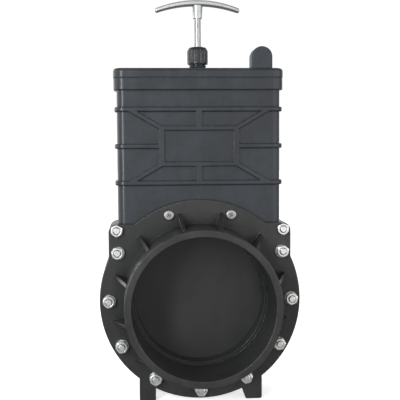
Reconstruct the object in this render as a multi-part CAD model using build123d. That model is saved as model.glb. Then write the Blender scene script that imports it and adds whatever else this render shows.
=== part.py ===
"""Slide gate valve for a 200 mm plastic pipe: a ribbed housing between two bolted socket flanges.

Millimetres, +Z up. The origin is on the floor under the middle of the valve, and the front faces -Y.
Every piece is modelled about the centre of the bore and lifted onto its feet at the end.
"""

import os
from math import cos, radians, sin, tan

from build123d import *

# Pipe socket and bore
PIPE_OD = 200.0
PIPE_GAP = 0.2
SOCKET_WALL = 10.3
SOCKET_DEPTH = 84.0
SOCKET_DRAFT = 1.2
MOUTH_CHAMFER = 1.0
STOP_STEP = 5.2
STOP_OFFSET = 1.0

# Gate blade
BLADE_T = 8.0
BLADE_OVERLAP = 14.0
BLADE_BEVEL = 1.5
LIFT_CLEARANCE = 1.0
TAB_HALF_X = 18.0
TAB_H = 9.0

# Seat seals, carried by a spigot on each flange
SEAL_SEAT_LIP = 2.0
SEAL_W = 7.0
SEAL_GROOVE = 5.0
SEAL_GAP = 0.3
SEAL_SIDE_GAP = 0.1
SPIGOT_RIM = 3.0
SPIGOT_GAP = 4.0
SPIGOT_CLEARANCE = 0.5

# Housing
CHAMBER_GAP = 5.0
SIDE_WALL = 5.4
CAVITY_HALF_Y = 21.5
FRONT_WALL = 5.5
BOX_CORNER = 11.0
BOX_EDGE = 1.0
RIM_PLATE = 6.0
COLUMN_R = 9.8
WEB_T = 6.0
RIM_H = 16.5
RIM_LIP = 4.4
GUIDE_GRIP = 3.5
GUIDE_GAP = 0.5
GUIDE_WALL = 3.0

# Raised ribs on the housing
RIB_W = 7.0
RIB_H = 3.0
RIB_SIDE = 3.5
RIB_TOP_DROP = 28.0
RIB_PITCH = 53.5
RIB_ROUND = 1.8
RIB_TAPER = 12.0
FRAME_HALF_X = 58.7
FRAME_HALF_Z = 29.5
FRAME_BAR = 6.8
FRAME_POST = 8.4
STUB_W = 9.0
DIAGONAL_W = 6.6
DIAGONAL_ANGLE = 30.3

# Flanges, their gaskets and fastenings
GASKET_T = 1.5
FLANGE_T = 8.0
FLANGE_EDGE = 13.3
FLANGE_ROUND = 1.2
BOLT_OFFSET = 14.3
BOLT_HOLE_R = 5.3
BOLT_PITCH = 30.0
SCREW_ANGLE = 70.0
SCREW_INSET = 1.3
SCREW_HOLE_R = 4.5
SCREW_TAP_R = 3.4
SCREW_DEPTH = 14.0
SCREW_BOSS_R = 8.0
SCREW_BOSS_END = 9.0
EAR_REACH = 13.7
EAR_TOP = 112.2
EAR_BOTTOM = 40.0
EAR_CORNER = 12.0
EAR_BOLT_INSET = 12.0
EAR_BOLT_DROP = 9.2
SIDE_BOLT_INSET = 12.6
SIDE_BOLT_DROP = 41.6
GUSSET_T = 5.0
GUSSET_REACH = 20.0
GUSSET_H = 56.0
GUSSET_TOE = 1.5
GUSSET_COUNT = 12
GUSSET_LIFT = 1.5

# Feet
FOOT_DROP = 3.0
FOOT_OUTER_X = 90.5
FOOT_W = 24.0
FOOT_CORNER = 3.0
FOOT_SLANT = 20.0
FOOT_RIB_T = 6.0
FOOT_RIB_REACH = 16.0

# Lid
LID_GASKET_T = 1.0
LID_T = 14.0
LID_RECESS = 8.0
LID_LIP = 4.85
LID_ROUND = 5.0
LID_CORNER = 15.5
LUG_INSET = 32.0
LUG_R = 15.2
LUG_STEM_H = 16.1
LUG_SETBACK = 2.4
LUG_DEPTH = 32.0
LUG_ROUND = 2.5

# Stem, gland and handle
STEM_R = 5.0
STEM_GAP = 0.05
BRACKET_T = 2.5
BRACKET_GAP = 0.1
BRACKET_HALF_X = 16.0
BRACKET_RISE = 1.0
BRACKET_HEAD = 1.5
BRACKET_CLEARANCE = 7.5
RIVET_R = 2.5
RIVET_X = 9.0
NECK_R = 11.7
NECK_H = 22.0
NECK_THROAT_R = 5.3
PACKING_R = 8.6
PACKING_GAP = 0.05
PACKING_H = 7.0
PACKING_SEAT = 8.0
BUSH_GAP = 0.15
BUSH_RISE = 4.0
NUT_R = 15.15
NUT_H = 25.8
NUT_LIFT = 6.6
NUT_THREAD_GAP = 0.15
NUT_HOLE_R = 6.2
NUT_CHAMFER_X = 2.6
NUT_CHAMFER_Z = 6.0
NUT_CROWN_R = 8.5
NUT_CROWN_H = 1.2
NUT_COLLAR_H = 3.2
NUT_FLUTES = 16
NUT_FLUTE_R = 1.8
NUT_FLUTE_DEPTH = 1.1
STEM_SHOWN = 41.4
HUB_BASE_R = 6.8
HUB_TOP_R = 8.0
HUB_H = 18.6
HUB_SOCKET = 14.0
BAR_HALF_X = 62.1
BAR_SAG = 11.0
BAR_T = 8.0
BAR_TIP_T = 6.8
BAR_HALF_Y = 7.5
BAR_TIP_HALF_Y = 5.5
BAR_ROUND = 2.6

# Sizes that follow from the ones above
SOCKET_R = PIPE_OD / 2 + PIPE_GAP
SOCKET_OUTER_R = SOCKET_R + SOCKET_WALL
BORE_R = SOCKET_R - STOP_STEP
SEAL_IN_R = BORE_R + SEAL_SEAT_LIP
SEAL_OUT_R = SEAL_IN_R + SEAL_W
SPIGOT_R = SEAL_OUT_R + SPIGOT_RIM
SPIGOT_Y = BLADE_T / 2 + SPIGOT_GAP
BLADE_R = BORE_R + BLADE_OVERLAP
BLADE_TOP = SEAL_OUT_R + SEAL_SEAT_LIP
TRAVEL = BLADE_R + BORE_R + LIFT_CLEARANCE
CHAMBER_R = BLADE_R + CHAMBER_GAP
BOX_HALF_X = CHAMBER_R + SIDE_WALL
HOUSING_HALF_Y = CAVITY_HALF_Y + FRONT_WALL
GUIDE_IN_X = BLADE_R - GUIDE_GRIP
PLATE_BACK_Y = HOUSING_HALF_Y + GASKET_T
FLANGE_FRONT_Y = PLATE_BACK_Y + FLANGE_T
STOP_Y = PLATE_BACK_Y + STOP_OFFSET
MOUTH_Y = STOP_Y + SOCKET_DEPTH
BOLT_CIRCLE_R = BOX_HALF_X + BOLT_OFFSET
FLANGE_R = BOLT_CIRCLE_R + FLANGE_EDGE
EAR_X = BOX_HALF_X + EAR_REACH
FOOT_Z = -(FLANGE_R + FOOT_DROP)
FOOT_TOP = -(FLANGE_R**2 - FOOT_OUTER_X**2) ** 0.5 + FOOT_CORNER
TAB_TOP = BLADE_TOP + TAB_H
BRACKET_TOP = TAB_TOP + BRACKET_HEAD + BRACKET_T
LID_UNDER = BRACKET_TOP + TRAVEL + BRACKET_CLEARANCE
RIM_TOP = LID_UNDER - LID_RECESS - LID_GASKET_T
RIM_BOTTOM = RIM_TOP - RIM_H
LID_BASE = RIM_TOP + LID_GASKET_T
LID_TOP = LID_BASE + LID_T
LUG_X = BOX_HALF_X + LID_LIP - LUG_INSET
LUG_FRONT_Y = HOUSING_HALF_Y + LID_LIP - LUG_SETBACK
RIB_TOP_Z = RIM_BOTTOM - RIB_TOP_DROP
RIB_MID_Z = RIB_TOP_Z - RIB_PITCH
RIB_LOW_Z = RIB_MID_Z - RIB_PITCH
NECK_TOP = LID_TOP + NECK_H
PACKING_BASE = LID_TOP + PACKING_SEAT
PACKING_TOP = PACKING_BASE + PACKING_H
BUSH_TOP = NECK_TOP + BUSH_RISE
NUT_BASE = LID_TOP + NUT_LIFT
NUT_TOP = NUT_BASE + NUT_H
HUB_BASE = NUT_TOP + STEM_SHOWN
BAR_BASE = HUB_BASE + HUB_H
LIFT_TO_FLOOR = Pos(0, 0, -FOOT_Z)

# Seven through bolts stand every 30 degrees round the lower half. Above it the blade sweeps the circle
# when it lifts, so each side has two more in its ear, outside the chamber's wall.
BOLT_ANGLES = [step * BOLT_PITCH for step in range(-6, 1)]
EAR_BOLTS = [(side * (EAR_X - EAR_BOLT_INSET), EAR_TOP - EAR_BOLT_DROP) for side in (-1, 1)]
SIDE_BOLTS = [(side * (EAR_X - SIDE_BOLT_INSET), EAR_TOP - SIDE_BOLT_DROP) for side in (-1, 1)]
BOLT_PLACES = [
    (BOLT_CIRCLE_R * cos(radians(angle)), BOLT_CIRCLE_R * sin(radians(angle))) for angle in BOLT_ANGLES
]
BOLT_PLACES += SIDE_BOLTS + EAR_BOLTS
SCREW_CIRCLE_R = BOLT_CIRCLE_R - SCREW_INSET
SCREW_PLACES = [
    (side * SCREW_CIRCLE_R * cos(radians(SCREW_ANGLE)), SCREW_CIRCLE_R * sin(radians(SCREW_ANGLE)))
    for side in (-1, 1)
]


def facing_front(depth):
    """The upright plane at y = -depth, whose extrusions grow towards the front."""
    return Plane(origin=(0, -depth, 0), x_dir=(1, 0, 0), z_dir=(0, -1, 0))


def slab(sketch, near, far):
    """An upright outline filled from y = -near forwards to y = -far."""
    return extrude(facing_front(near) * sketch, far - near)


def level_slab(sketch, low, high):
    """A level outline filled from one height to another."""
    return extrude(Plane.XY.offset(low) * sketch, high - low)


def turned(points):
    """A closed outline of (radius, y) points spun round the axis of the bore."""
    outline = make_face(Polyline(*points, close=True))
    return revolve(outline, Axis.Y, 360)


def lathe(points):
    """A closed outline of (radius, z) points spun round the axis of the stem."""
    outline = make_face(Plane.XZ * Polyline(*points, close=True))
    return revolve(outline, Axis.Z, 360)


def to_the_back(piece):
    """The same piece turned half round the upright axis."""
    return Rot(0, 0, 180) * piece


def arch(radius, top):
    """The U outline of the blade and its chamber: round below, straight sides up to a level top."""
    return Circle(radius) + Pos(0, top / 2) * Rectangle(2 * radius, top)


def flange_outline():
    """The round flange with the two square ears that take the upper bolts."""
    ears = Rectangle(2 * EAR_X, EAR_TOP - EAR_BOTTOM)
    ears = fillet(ears.vertices().group_by(Axis.Y)[-1], EAR_CORNER)
    return Circle(FLANGE_R) + Pos(0, (EAR_TOP + EAR_BOTTOM) / 2) * ears


def foot_outline(side, slant):
    """One foot below the flange, whose inner edge may slope."""
    outer, inner = side * FOOT_OUTER_X, side * (FOOT_OUTER_X - FOOT_W)
    rise = FOOT_TOP - FOOT_Z
    corners = [
        (outer, FOOT_TOP),
        (outer, FOOT_Z),
        (inner, FOOT_Z),
        (inner - side * rise * tan(radians(slant)), FOOT_TOP),
    ]
    foot = Polygon(*(corners[::-1] if side > 0 else corners), align=None)
    return fillet(foot.vertices().group_by(Axis.Y)[0], FOOT_CORNER)


def drilled(piece, places, radius, near, far):
    """The piece with a round hole at each place, cut from y = -near to y = -far."""
    for place in places:
        piece -= slab(Pos(*place) * Circle(radius), near, far)
    return piece


def box_outline(grow_x, grow_y, corner):
    """The level outline of the housing's box, grown by a margin on each side."""
    return RectangleRounded(2 * (BOX_HALF_X + grow_x), 2 * (HOUSING_HALF_Y + grow_y), corner)


def belt(height):
    """A rib that runs all the way round the box."""
    outline = box_outline(RIB_SIDE, RIB_H, BOX_CORNER + RIB_H)
    ring = level_slab(outline, height - RIB_W / 2, height + RIB_W / 2)
    rims = ring.edges().group_by(Axis.Z)
    return fillet(rims[0] + rims[-1], RIB_ROUND)


def middle_belt():
    """The middle rib, which stops at the raised frame on the front and back."""
    ring = belt(RIB_MID_Z)
    gap = 2 * (FRAME_HALF_X - FRAME_POST / 2)
    reach = 2 * (HOUSING_HALF_Y + RIB_H + 1)
    return ring - Pos(0, 0, RIB_MID_Z) * Box(gap, reach, 2 * RIB_W)


def lattice():
    """The raised frame, stubs and diagonals between the belts on the front of the box."""
    bars = Rectangle(2 * FRAME_HALF_X, 2 * FRAME_HALF_Z)
    bars -= Rectangle(2 * (FRAME_HALF_X - FRAME_POST), 2 * (FRAME_HALF_Z - FRAME_BAR))
    rise = RIB_PITCH - FRAME_HALF_Z
    for up in (-1, 1):
        bars += Pos(0, up * (FRAME_HALF_Z + rise / 2)) * Rectangle(STUB_W, rise)
    corner_x = FRAME_HALF_X - FRAME_POST / 2
    corner_z = FRAME_HALF_Z - FRAME_BAR / 2
    length = (RIB_PITCH - corner_z) / sin(radians(DIAGONAL_ANGLE))
    bar = Pos(length / 2, 0) * Rectangle(length, DIAGONAL_W)
    for across in (-1, 1):
        for up in (-1, 1):
            turn = DIAGONAL_ANGLE if across > 0 else 180 - DIAGONAL_ANGLE
            bars += Pos(across * corner_x, up * corner_z) * Rot(0, 0, up * turn) * bar
    field = Rectangle(2 * (BOX_HALF_X - BOX_CORNER), 2 * RIB_PITCH)
    plate = facing_front(HOUSING_HALF_Y) * Pos(0, RIB_MID_Z) * (bars & field)
    return extrude(plate, RIB_H, taper=RIB_TAPER)


def housing_lower():
    """The two rim plates, and between them the chamber wall with its bolt columns and webs."""
    outline = flange_outline()
    core = arch(BOX_HALF_X, EAR_TOP)
    for x, z in BOLT_PLACES:
        core += Pos(x, z) * Circle(COLUMN_R)
    for angle in BOLT_ANGLES:
        core += Rot(0, 0, angle) * Pos(BOLT_CIRCLE_R / 2, 0) * Rectangle(BOLT_CIRCLE_R, WEB_T)
    body = slab(core & outline, -HOUSING_HALF_Y, HOUSING_HALF_Y)
    body += slab(outline, HOUSING_HALF_Y - RIM_PLATE, HOUSING_HALF_Y)
    body += slab(outline, -HOUSING_HALF_Y, RIM_PLATE - HOUSING_HALF_Y)
    return body


def housing_upper():
    """The bonnet box with its belts, its lattice on both faces and its thick rim."""
    box = level_slab(box_outline(0, 0, BOX_CORNER), EAR_BOTTOM, RIM_TOP)
    rim = level_slab(box_outline(RIM_LIP, RIM_LIP, BOX_CORNER + RIM_LIP), RIM_BOTTOM, RIM_TOP)
    rim = fillet(rim.edges().group_by(Axis.Z)[0], BOX_EDGE)
    pattern = lattice()
    box += [rim, belt(RIB_TOP_Z), middle_belt(), belt(RIB_LOW_Z), pattern, to_the_back(pattern)]
    return box


def gate_housing():
    """The hollow body that the blade slides in, open at both faces and at the top."""
    body = housing_lower() + housing_upper()
    body -= slab(arch(CHAMBER_R, RIM_TOP + 1), -CAVITY_HALF_Y, CAVITY_HALF_Y)
    body -= slab(Circle(SPIGOT_R + SPIGOT_CLEARANCE), -HOUSING_HALF_Y, HOUSING_HALF_Y)
    for x, z in SCREW_PLACES:
        boss = slab(Pos(x, z) * Circle(SCREW_BOSS_R), SCREW_BOSS_END, HOUSING_HALF_Y)
        hole = slab(Pos(x, z) * Circle(SCREW_TAP_R), HOUSING_HALF_Y - SCREW_DEPTH, HOUSING_HALF_Y)
        body += [boss, to_the_back(boss)]
        body -= [hole, to_the_back(hole)]
    return drilled(body, BOLT_PLACES, BOLT_HOLE_R, -HOUSING_HALF_Y, HOUSING_HALF_Y)


def guide_rail(side):
    """A channel strip up one side of the housing, in which an edge of the blade slides."""
    half_slot = BLADE_T / 2 + GUIDE_GAP
    half_y = half_slot + GUIDE_WALL
    centre_x = (GUIDE_IN_X + CHAMBER_R) / 2
    strip = Pos(centre_x, 0) * Rectangle(CHAMBER_R - GUIDE_IN_X, 2 * half_y)
    slot_end = BLADE_R + GUIDE_GAP
    strip -= Pos((GUIDE_IN_X + slot_end) / 2, 0) * Rectangle(slot_end - GUIDE_IN_X, 2 * half_slot)
    rail = level_slab(strip, 0, RIM_TOP)
    return rail if side > 0 else to_the_back(rail)


def flange_plate():
    """The flat plate of a socket flange, with its ears and its two feet."""
    outline = flange_outline() + foot_outline(-1, 0) + foot_outline(1, FOOT_SLANT)
    plate = slab(outline, PLATE_BACK_Y, FLANGE_FRONT_Y)
    front_rim = plate.faces().sort_by(Axis.Y)[0].outer_wire().edges()
    return fillet(front_rim, FLANGE_ROUND)


def socket_tube():
    """The pipe socket in front of the plate, and the spigot behind it that carries the seat seal."""
    base_r = SOCKET_OUTER_R + SOCKET_DRAFT
    return turned(
        [
            (SOCKET_R, -STOP_Y),
            (BORE_R, -STOP_Y),
            (BORE_R, -SPIGOT_Y),
            (SEAL_IN_R, -SPIGOT_Y),
            (SEAL_IN_R, -SPIGOT_Y - SEAL_GROOVE),
            (SEAL_OUT_R, -SPIGOT_Y - SEAL_GROOVE),
            (SEAL_OUT_R, -SPIGOT_Y),
            (SPIGOT_R, -SPIGOT_Y),
            (SPIGOT_R, -PLATE_BACK_Y),
            (base_r, -PLATE_BACK_Y),
            (base_r, -FLANGE_FRONT_Y),
            (SOCKET_OUTER_R, MOUTH_CHAMFER - MOUTH_Y),
            (SOCKET_OUTER_R - MOUTH_CHAMFER, -MOUTH_Y),
            (SOCKET_R + MOUTH_CHAMFER, -MOUTH_Y),
            (SOCKET_R, MOUTH_CHAMFER - MOUTH_Y),
        ]
    )


def gusset(angle):
    """A triangular web between the plate and the socket."""
    root_r = SOCKET_OUTER_R - SOCKET_WALL / 2
    toe_r = SOCKET_OUTER_R + GUSSET_REACH
    top_y = FLANGE_FRONT_Y + GUSSET_H
    side = Polyline(
        (root_r, -PLATE_BACK_Y - GUSSET_TOE),
        (toe_r, -PLATE_BACK_Y - GUSSET_TOE),
        (toe_r, -FLANGE_FRONT_Y - GUSSET_TOE),
        (SOCKET_OUTER_R + GUSSET_TOE, -top_y),
        (root_r, -top_y),
        close=True,
    )
    return Rot(0, -angle, 0) * extrude(make_face(side), GUSSET_T / 2, both=True)


def gusset_angles():
    """The gussets' places round the socket, pulled up a little from an even spacing on each side."""
    steps = [(step + 0.5) * 360 / GUSSET_COUNT - GUSSET_LIFT for step in range(GUSSET_COUNT // 2)]
    return [90 + side * step for step in steps for side in (-1, 1)]


def foot_rib(side):
    """The upright rib behind a foot, under the rim of the housing."""
    middle = side * (FOOT_OUTER_X - FOOT_W / 2)
    rib_top = -((FLANGE_R + FOOT_CORNER) ** 2 - middle**2) ** 0.5
    profile = Polyline(
        (-PLATE_BACK_Y, FOOT_Z),
        (FOOT_RIB_REACH - PLATE_BACK_Y, FOOT_Z),
        (FOOT_RIB_REACH - PLATE_BACK_Y, FOOT_Z + FOOT_CORNER),
        (-PLATE_BACK_Y, rib_top),
        close=True,
    )
    return Pos(middle, 0, 0) * extrude(make_face(Plane.YZ * profile), FOOT_RIB_T / 2, both=True)


def socket_flange():
    """The front flange: plate, feet, socket, spigot and gussets in one moulding."""
    body = flange_plate()
    body -= slab(Circle(SOCKET_OUTER_R), PLATE_BACK_Y, FLANGE_FRONT_Y)
    gussets = [gusset(angle) for angle in gusset_angles()]
    body += [socket_tube(), *gussets, foot_rib(-1), foot_rib(1)]
    body = drilled(body, BOLT_PLACES, BOLT_HOLE_R, PLATE_BACK_Y, FLANGE_FRONT_Y)
    return drilled(body, SCREW_PLACES, SCREW_HOLE_R, PLATE_BACK_Y, FLANGE_FRONT_Y)


def flange_gasket():
    """The flat rubber sheet between a flange and the housing."""
    sheet = slab(flange_outline(), HOUSING_HALF_Y, PLATE_BACK_Y)
    sheet -= slab(Circle(SPIGOT_R + SPIGOT_CLEARANCE), HOUSING_HALF_Y, PLATE_BACK_Y)
    sheet = drilled(sheet, BOLT_PLACES, BOLT_HOLE_R, HOUSING_HALF_Y, PLATE_BACK_Y)
    return drilled(sheet, SCREW_PLACES, SCREW_HOLE_R, HOUSING_HALF_Y, PLATE_BACK_Y)


def seat_seal():
    """The rubber ring in the spigot's groove, with a narrower lip towards the blade."""
    base_y = SPIGOT_Y + SEAL_GROOVE
    lip_y = BLADE_T / 2 + SEAL_GAP
    inner, outer = SEAL_IN_R + SEAL_SIDE_GAP, SEAL_OUT_R - SEAL_SIDE_GAP
    lip = (outer - inner) / 4
    return turned(
        [
            (inner, -base_y),
            (outer, -base_y),
            (outer, -SPIGOT_Y),
            (outer - lip, -lip_y),
            (inner + lip, -lip_y),
            (inner, -SPIGOT_Y),
        ]
    )


def lid():
    """The cap on the box, hollow below, with the threaded neck of the gland on top."""
    cap = level_slab(box_outline(LID_LIP, LID_LIP, LID_CORNER), LID_BASE, LID_TOP)
    cap = fillet(cap.edges().group_by(Axis.Z)[-1], LID_ROUND)
    cap = fillet(cap.edges().group_by(Axis.Z)[0], BOX_EDGE)
    cap -= level_slab(Rectangle(2 * CHAMBER_R, 2 * CAVITY_HALF_Y), LID_BASE, LID_BASE + LID_RECESS)
    neck = lathe(
        [
            (0, LID_TOP - BOX_EDGE),
            (NECK_R, LID_TOP - BOX_EDGE),
            (NECK_R, NECK_TOP - BOX_EDGE),
            (NECK_R - BOX_EDGE, NECK_TOP),
            (0, NECK_TOP),
        ]
    )
    cap += neck
    cap -= level_slab(Circle(NECK_THROAT_R), LID_BASE, NECK_TOP)
    cap -= level_slab(Circle(PACKING_R), PACKING_BASE, NECK_TOP)
    return cap


def lid_gasket():
    """The thin ring between the rim of the box and the lid."""
    ring = box_outline(RIM_LIP - BOX_EDGE, RIM_LIP - BOX_EDGE, BOX_CORNER)
    return level_slab(ring - Rectangle(2 * CHAMBER_R, 2 * CAVITY_HALF_Y), RIM_TOP, LID_BASE)


def lid_lug():
    """The round-topped block at one end of the lid, whose front runs down over the lid's rounded edge."""
    upright = Pos(0, LUG_STEM_H / 2) * Rectangle(2 * LUG_R, LUG_STEM_H)
    outline = Pos(LUG_X, LID_TOP) * (upright + Pos(0, LUG_STEM_H) * Circle(LUG_R))
    block = slab(outline, LUG_FRONT_Y - LUG_DEPTH, LUG_FRONT_Y)
    rims = block.edges().filter_by(lambda edge: edge.center().Z > LID_TOP + LUG_ROUND)
    block = fillet(rims.group_by(Axis.Y)[0] + rims.group_by(Axis.Y)[-1], LUG_ROUND)
    apron = Pos(LUG_X, LID_TOP - LID_ROUND / 2) * Rectangle(2 * LUG_R, LID_ROUND)
    block += slab(apron, LUG_FRONT_Y - LID_ROUND, LUG_FRONT_Y)
    return block - lid()


def gland_packing():
    """The rubber packing round the stem, at the bottom of the neck."""
    ring = Circle(PACKING_R - PACKING_GAP) - Circle(STEM_R + STEM_GAP)
    return level_slab(ring, PACKING_BASE, PACKING_TOP)


def gland_bush():
    """The sleeve between the packing and the gland nut."""
    ring = Circle(PACKING_R - BUSH_GAP) - Circle(STEM_R + BUSH_GAP)
    return level_slab(ring, PACKING_TOP, BUSH_TOP)


def gland_nut():
    """The fluted nut that screws down over the neck and presses the bush."""
    inner = NECK_R + NUT_THREAD_GAP
    nut = lathe(
        [
            (inner, NUT_BASE),
            (NUT_R - BOX_EDGE, NUT_BASE),
            (NUT_R, NUT_BASE + BOX_EDGE),
            (NUT_R, NUT_TOP - NUT_CHAMFER_Z),
            (NUT_R - NUT_CHAMFER_X, NUT_TOP - NUT_CROWN_H),
            (NUT_CROWN_R, NUT_TOP),
            (NUT_HOLE_R, NUT_TOP),
            (NUT_HOLE_R, BUSH_TOP),
            (inner, BUSH_TOP),
        ]
    )
    flute_at = NUT_R + NUT_FLUTE_R - NUT_FLUTE_DEPTH
    for step in range(NUT_FLUTES):
        place = Rot(0, 0, (step + 0.5) * 360 / NUT_FLUTES) * Pos(flute_at, 0)
        nut -= level_slab(place * Circle(NUT_FLUTE_R), NUT_BASE + NUT_COLLAR_H, NUT_TOP)
    return nut


def gate_blade():
    """The flat plate that shuts the bore, with a tab on top for the stem's bracket."""
    outline = arch(BLADE_R, BLADE_TOP)
    blade = slab(outline, -BLADE_T / 2, BLADE_T / 2)
    rims = [edge for edge in blade.edges() if edge.geom_type == GeomType.CIRCLE]
    blade = chamfer(rims, BLADE_BEVEL)
    tab = Pos(0, TAB_TOP / 2) * Rectangle(2 * TAB_HALF_X, TAB_TOP)
    blade += slab(tab, -BLADE_T / 2, BLADE_T / 2)
    return drilled(blade, rivet_places(), RIVET_R, -BLADE_T / 2, BLADE_T / 2)


def rivet_places():
    """The middles of the two rivets through the blade's tab."""
    height = (BLADE_TOP + BRACKET_RISE + TAB_TOP) / 2
    return [(-RIVET_X, height), (RIVET_X, height)]


def stem_bracket():
    """The folded steel saddle that holds the stem on the blade's tab."""
    half_slot = BLADE_T / 2 + BRACKET_GAP
    half_y = half_slot + BRACKET_T
    base = BLADE_TOP + BRACKET_RISE
    profile = Pos(0, (base + BRACKET_TOP) / 2) * Rectangle(2 * half_y, BRACKET_TOP - base)
    profile = fillet(profile.vertices().group_by(Axis.Y)[-1], BRACKET_T / 2)
    slot_top = TAB_TOP + BRACKET_HEAD
    profile -= Pos(0, (base + slot_top) / 2) * Rectangle(2 * half_slot, slot_top - base)
    saddle = extrude(Plane.YZ * profile, BRACKET_HALF_X, both=True)
    return drilled(saddle, rivet_places(), RIVET_R, -half_y, half_y)


def bracket_rivets():
    """The two rivets through the bracket and the tab."""
    half_y = BLADE_T / 2 + BRACKET_GAP + BRACKET_T
    shank = Circle(RIVET_R - STEM_GAP)
    return Compound(children=[slab(Pos(*place) * shank, -half_y, half_y) for place in rivet_places()])


def stem():
    """The steel rod from the bracket up through the gland into the handle."""
    rod = level_slab(Circle(STEM_R), BRACKET_TOP, HUB_BASE + HUB_SOCKET)
    return chamfer(rod.edges().group_by(Axis.Z)[-1], BOX_EDGE)


def handle_bar():
    """The arched cross bar, thinner and narrower towards its tips."""
    crown, tip = BAR_BASE, BAR_BASE - BAR_SAG
    edges = Curve() + [
        ThreePointArc((-BAR_HALF_X, tip), (0, crown), (BAR_HALF_X, tip)),
        Line((BAR_HALF_X, tip), (BAR_HALF_X, tip + BAR_TIP_T)),
        ThreePointArc((BAR_HALF_X, tip + BAR_TIP_T), (0, crown + BAR_T), (-BAR_HALF_X, tip + BAR_TIP_T)),
        Line((-BAR_HALF_X, tip + BAR_TIP_T), (-BAR_HALF_X, tip)),
    ]
    bar = slab(make_face(edges), -BAR_HALF_Y, BAR_HALF_Y)
    plan = Curve() + [
        ThreePointArc((-BAR_HALF_X, -BAR_TIP_HALF_Y), (0, -BAR_HALF_Y), (BAR_HALF_X, -BAR_TIP_HALF_Y)),
        Line((BAR_HALF_X, -BAR_TIP_HALF_Y), (BAR_HALF_X, BAR_TIP_HALF_Y)),
        ThreePointArc((BAR_HALF_X, BAR_TIP_HALF_Y), (0, BAR_HALF_Y), (-BAR_HALF_X, BAR_TIP_HALF_Y)),
        Line((-BAR_HALF_X, BAR_TIP_HALF_Y), (-BAR_HALF_X, -BAR_TIP_HALF_Y)),
    ]
    bar &= level_slab(make_face(plan), tip - 1, crown + BAR_T + 1)
    return fillet(bar.edges(), BAR_ROUND)


def t_handle():
    """The cast handle: the cross bar with a tapered hub that takes the end of the stem."""
    hub = lathe(
        [
            (0, HUB_BASE),
            (HUB_BASE_R, HUB_BASE),
            (HUB_TOP_R, BAR_BASE),
            (HUB_TOP_R - BAR_ROUND, BAR_BASE + BAR_T / 2),
            (0, BAR_BASE + BAR_T / 2),
        ]
    )
    return handle_bar() + hub - level_slab(Circle(STEM_R + STEM_GAP), HUB_BASE, HUB_BASE + HUB_SOCKET)


PIECES = {
    "gate_housing": gate_housing,
    "left_guide_rail": lambda: guide_rail(-1),
    "right_guide_rail": lambda: guide_rail(1),
    "front_flange": socket_flange,
    "rear_flange": lambda: to_the_back(socket_flange()),
    "front_flange_gasket": flange_gasket,
    "rear_flange_gasket": lambda: to_the_back(flange_gasket()),
    "front_seat_seal": seat_seal,
    "rear_seat_seal": lambda: to_the_back(seat_seal()),
    "lid_gasket": lid_gasket,
    "lid": lid,
    "lid_lug": lid_lug,
    "gland_packing": gland_packing,
    "gland_bush": gland_bush,
    "gland_nut": gland_nut,
    "gate_blade": gate_blade,
    "stem_bracket": stem_bracket,
    "bracket_rivets": bracket_rivets,
    "stem": stem,
    "t_handle": t_handle,
}

os.makedirs("parts", exist_ok=True)
for name, make in PIECES.items():
    export_step(LIFT_TO_FLOOR * make(), f"parts/{name}.step")
    print("wrote", name)
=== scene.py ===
"""Dresses a 200 mm plastic slide gate valve and sets its studio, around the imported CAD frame.

The frame holds every solid of the valve. This script adds the bolts, nuts, washers and screws that
hold it together, gives every surface its finish, and sets the floor, the light and the camera.
Lengths are in metres, +Z is up, the front faces -Y, and the origin is on the floor under the
middle of the valve. Finishes read object coordinates, so their patterns are to scale.
"""

from __future__ import annotations

import logging
from dataclasses import dataclass
from enum import Enum
from math import cos, pi, radians, sin, sqrt, tan
from typing import Any, Mapping, Sequence, Union

import bmesh
import bpy
from mathutils import Matrix, Vector

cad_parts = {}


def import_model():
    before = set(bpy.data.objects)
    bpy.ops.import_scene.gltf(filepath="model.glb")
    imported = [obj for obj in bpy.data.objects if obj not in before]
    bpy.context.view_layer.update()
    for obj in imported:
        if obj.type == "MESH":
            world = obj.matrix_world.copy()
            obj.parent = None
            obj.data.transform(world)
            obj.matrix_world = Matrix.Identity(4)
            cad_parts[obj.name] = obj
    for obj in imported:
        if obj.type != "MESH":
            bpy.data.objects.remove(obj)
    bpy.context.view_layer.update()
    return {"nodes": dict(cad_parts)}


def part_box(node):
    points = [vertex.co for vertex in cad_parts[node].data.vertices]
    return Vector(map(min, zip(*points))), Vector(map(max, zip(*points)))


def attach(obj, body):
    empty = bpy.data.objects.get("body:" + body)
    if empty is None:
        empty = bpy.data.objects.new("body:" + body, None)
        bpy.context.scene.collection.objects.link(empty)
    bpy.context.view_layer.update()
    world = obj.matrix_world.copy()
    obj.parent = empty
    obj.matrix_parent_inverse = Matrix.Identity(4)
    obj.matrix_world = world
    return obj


LOG = logging.getLogger("valve")
MM = 0.001
HOUSING_BODY = "housing"

# How near points lie to count as one, as on a cut, and as at one depth, in metres
MERGE = 0.002 * MM
ON_CUT = 1e-7
AT_DEPTH = 1e-6

# The least fold that shows as a sharp edge, in degrees, and how many flats a nut or head has
SHARP_FOLD = 28.0
FLAT_COUNT = 6

# What clouds come to on average
MEAN = 0.5

Colour = tuple[float, float, float]
Point = tuple[float, float, float]
Place = tuple[float, float]
Span = tuple[float, float]


# Shader arithmetic


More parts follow.
